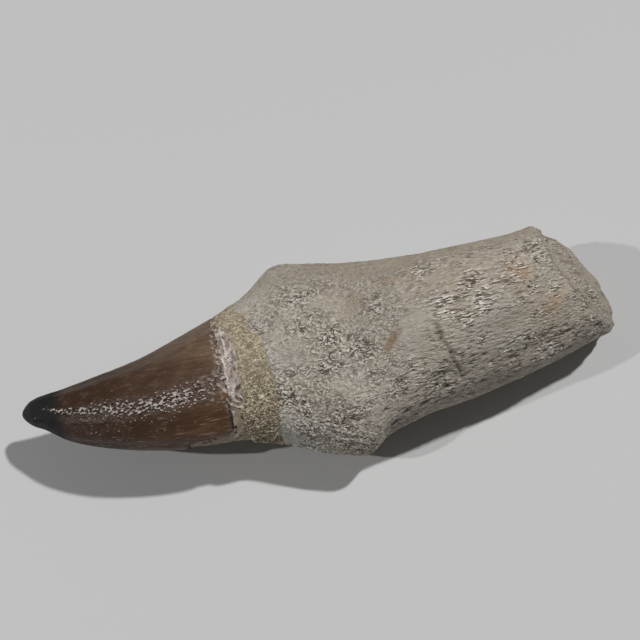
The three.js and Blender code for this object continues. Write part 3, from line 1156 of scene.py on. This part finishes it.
def boneMaterial():
    material, tree, shader = newMaterial("fossil bone")
    wormy = maskOf(tree, "wormy")
    fine, drawn, spread = placeAll(tree, grainGroup, boneMarks, "fine", "drawn", "spread")
    drawn = times(tree, drawn, calc(tree, "SUBTRACT", 1.0, wormy))
    grain = calc(tree, "ADD", times(tree, fine, wormy), drawn)
    tone = boneColour(tree, grain, fine, wormy)

    # low ridges with a pale top and a dark side, and pits with a dark floor and a pale side:
    # crooked ones near the sand, straight ones farther along. The pale tops and sides are painted
    # highlight, the dark sides painted shadow, and the dark floors earth and painted shade
    least = calc(tree, "MULTIPLY_ADD", wormy, 0.16, 0.4)
    crowd = calc(tree, "MAXIMUM", remap(tree, spread, 0.42, 0.58, 0.0, 1.12), least)
    crowd = times(tree, crowd, maskOf(tree, "marks"))
    worms, grooves = placeAll(tree, wormGroup, boneMarks, "worms", "grooves")
    ridges, dashes = placeAll(tree, fleckGroup, boneMarks, "ridges", "dashes")
    crooked, straight = remap(tree, wormy, 0.25, 0.65), remap(tree, wormy, 0.75, 0.35)

    def gathered(nearSand, alsoNear, farther, alsoFar):
        nearSand = times(tree, calc(tree, "MAXIMUM", nearSand, alsoNear), crooked)
        farther = times(tree, calc(tree, "MAXIMUM", farther, alsoFar), straight)
        return times(tree, calc(tree, "MAXIMUM", nearSand, farther), crowd)

    dark = gathered(grooves, besideOf(worms), dashes, besideOf(ridges))
    white = gathered(besideOf(grooves), times(tree, worms, 0.7), ridges, besideOf(dashes))
    # painted highlight on the raised rims beside the marks
    rims = times(tree, remap(tree, maskOf(tree, "crest"), 0.2, 0.9, 0.0, 0.5), crowd)
    pale = calc(tree, "MAXIMUM", rims, times(tree, white, boneAmounts["white"]))
    tone = coat(tree, boneTones, tone, (pale, "white"))
    tone = addEarthAndShade(tree, tone, boneTones["earth"], dark, boneAmounts["marks"])
    tone = addEarthAndShade(tree, tone, boneTones["earth"], maskOf(tree, "pit"), boneAmounts["pits"])
    height = calc(tree, "MULTIPLY_ADD", white, 0.2, grain)
    height = calc(tree, "SUBTRACT", height, times(tree, dark, 0.3))
    dress(tree, shader, tone, boneTones["roughness"], height, boneTones["bump"])
    return material


for piece, makeMaterial in zip(pieces, (enamelMaterial, sandMaterial, boneMaterial)):
    piece.data.materials.append(makeMaterial())
print("materials made")

# The board, the lamps and the camera
stage = {
    "floorTone": colour(0.585, 0.585, 0.585),
    "floorRoughness": 0.7,
    "floorSize": 2.4,
    "key": {"at": Vector((0.732, 0.215, 1.5)), "power": 18.2, "size": 0.07},        # from the right
    "fill": {"at": Vector((-0.469, -0.063, 0.475)), "power": 1.3, "size": 0.015},    # from the left
    "ambient": 0.09,
}


def makeFloor():
    half = stage["floorSize"] / 2
    corners = [(-half, -half, 0), (half, -half, 0), (half, half, 0), (-half, half, 0)]
    mesh = bpy.data.meshes.new("floor")
    mesh.from_pydata(corners, [], [(0, 1, 2, 3)])
    material, _, shader = newMaterial("pale board")
    shader.inputs["Base Color"].default_value = stage["floorTone"]
    shader.inputs["Roughness"].default_value = stage["floorRoughness"]
    mesh.materials.append(material)
    addObject("floor", mesh)


def addLamp(name):
    values = stage[name]
    lamp = bpy.data.lights.new(name, "AREA")
    lamp.energy = values["power"]
    lamp.size = values["size"]
    holder = addObject(name, lamp)
    holder.location = values["at"]
    holder.rotation_euler = values["at"].to_track_quat("Z", "Y").to_euler()


view = {
    "azimuth": -13.7,      # degrees round from the front
    "elevation": 65,
    "distance": 0.209,
    "lens": 70,
    "sensor": 36,
    "middle": Vector((-0.00156, -0.00246, 0.012)),
    "aimRight": -0.0003,
    "aimUp": 0.0082,       # the tooth lies a little below the middle of the view
}


def makeCamera():
    turn, tilt = radians(view["azimuth"]), radians(view["elevation"])
    flat = cos(tilt)
    away = Vector((sin(turn) * flat, -cos(turn) * flat, sin(tilt)))
    right = Vector((cos(turn), sin(turn), 0))
    up = away.cross(right)
    data = bpy.data.cameras.new("camera")
    data.lens = view["lens"]
    data.sensor_width = view["sensor"]
    data.clip_start = 0.01
    camera = addObject("camera", data)
    camera.location = view["middle"] + away * view["distance"]
    aim = view["middle"] + right * view["aimRight"] + up * view["aimUp"]
    camera.rotation_euler = (camera.location - aim).to_track_quat("Z", "Y").to_euler()
    bpy.context.scene.camera = camera


makeFloor()
addLamp("key")
addLamp("fill")
makeCamera()

world = bpy.data.worlds.new("room")
world.use_nodes = True
background = world.node_tree.nodes["Background"]
background.inputs["Color"].default_value = colour(1.0, 1.0, 1.0)
background.inputs["Strength"].default_value = stage["ambient"]
bpy.context.scene.world = world
bpy.context.scene.view_settings.view_transform = "Standard"
print("stage made")
